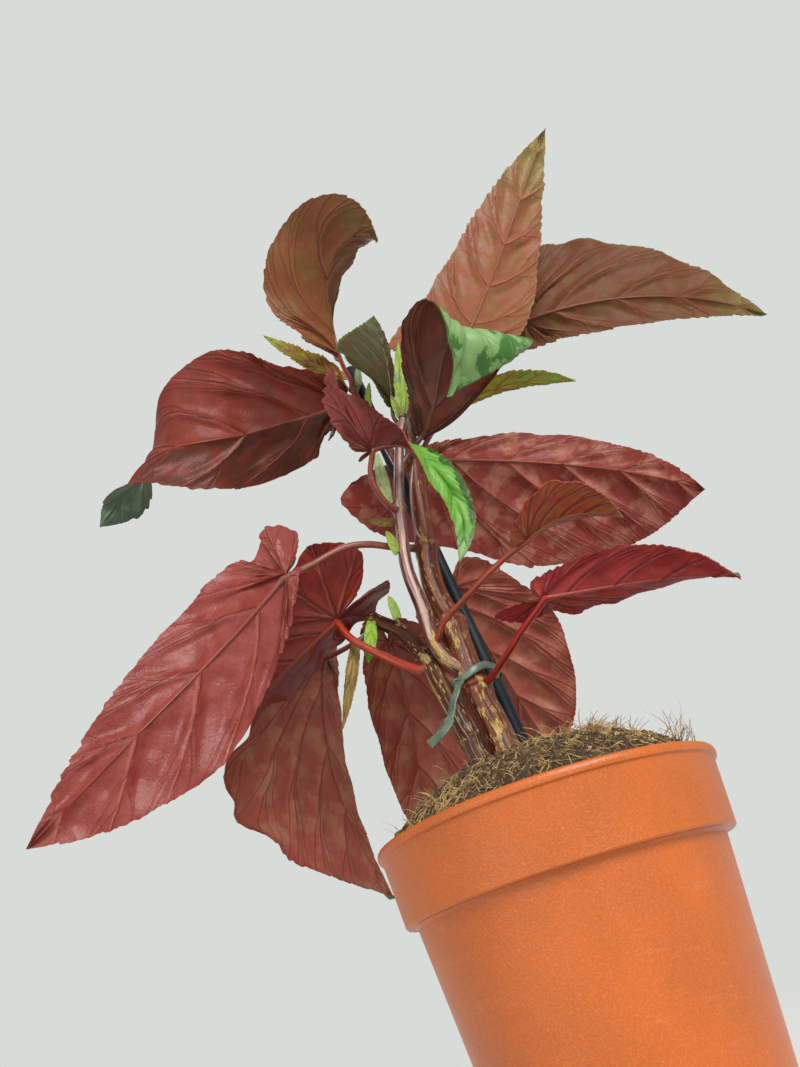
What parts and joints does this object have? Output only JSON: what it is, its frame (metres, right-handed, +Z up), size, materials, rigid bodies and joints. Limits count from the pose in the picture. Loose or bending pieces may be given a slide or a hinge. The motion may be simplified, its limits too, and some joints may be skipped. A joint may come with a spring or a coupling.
{
  "type": "potted cane begonia",
  "caption": "Cane begonia with toothed crimson and copper leaves, tied to a stake in a round tapered nursery pot filled with soil.",
  "frame": {"origin": "centre of the pot's base, on the surface that the pot stands on", "axes": "+Z up along the pot's axis, -Y the plant's front, +X to the right seen from the front"},
  "size_m": [0.4203, 0.1805, 0.5346],
  "materials": {
    "pot_plastic": "terracotta-coloured moulded plastic, fine grain, glossy lip",
    "potting_soil": "dark crumbly potting mix with tan coir fibres",
    "cane_bark": "reddish brown cane with tan corky patches",
    "young_cane": "smooth pinkish silver cane",
    "stake_coating": "satin dark green-black coating",
    "tie_plastic": "grey-green translucent strip",
    "red_leaf": "satin crimson leaf underside with raised veins",
    "copper_leaf": "copper to olive leaf underside",
    "variegated_leaf": "green upper side with dark patches, brown-red underside",
    "young_leaf": "yellow-green young leaf and stipule",
    "dry_bract": "dry tan to olive bract"
  },
  "bodies": {
    "root": {"bract_bud": "young_leaf", "bract_node": "dry_bract", "bract_shoot": "young_leaf", "bract_side_green": "young_leaf", "bract_side_high": "young_leaf", "bract_spur": "dry_bract", "bract_stake_end": "young_leaf", "bract_withered": "dry_bract", "bract_young": "young_leaf", "cane_main": "cane_bark", "cane_side": "cane_bark", "cane_top": "young_cane", "cane_young": "young_cane", "growing_tip": "young_leaf", "leaf_arch_green": "variegated_leaf", "leaf_bud_centre": "copper_leaf", "leaf_bud_left": "young_leaf", "leaf_centre_twist": "variegated_leaf", "leaf_hang_left": "red_leaf", "leaf_hang_mid": "red_leaf", "leaf_hang_right": "red_leaf", "leaf_left_big": "red_leaf", "leaf_low_left": "red_leaf", "leaf_low_left_back": "red_leaf", "leaf_mid_right": "red_leaf", "leaf_near_right": "red_leaf", "leaf_near_right_small": "red_leaf", "leaf_small_right": "young_leaf", "leaf_top_left": "copper_leaf", "leaf_top_right": "copper_leaf", "leaf_top_tall": "copper_leaf", "pot": "pot_plastic", "soil": "potting_soil", "stake": "stake_coating", "tie": "tie_plastic"}
  },
  "joints": []
}
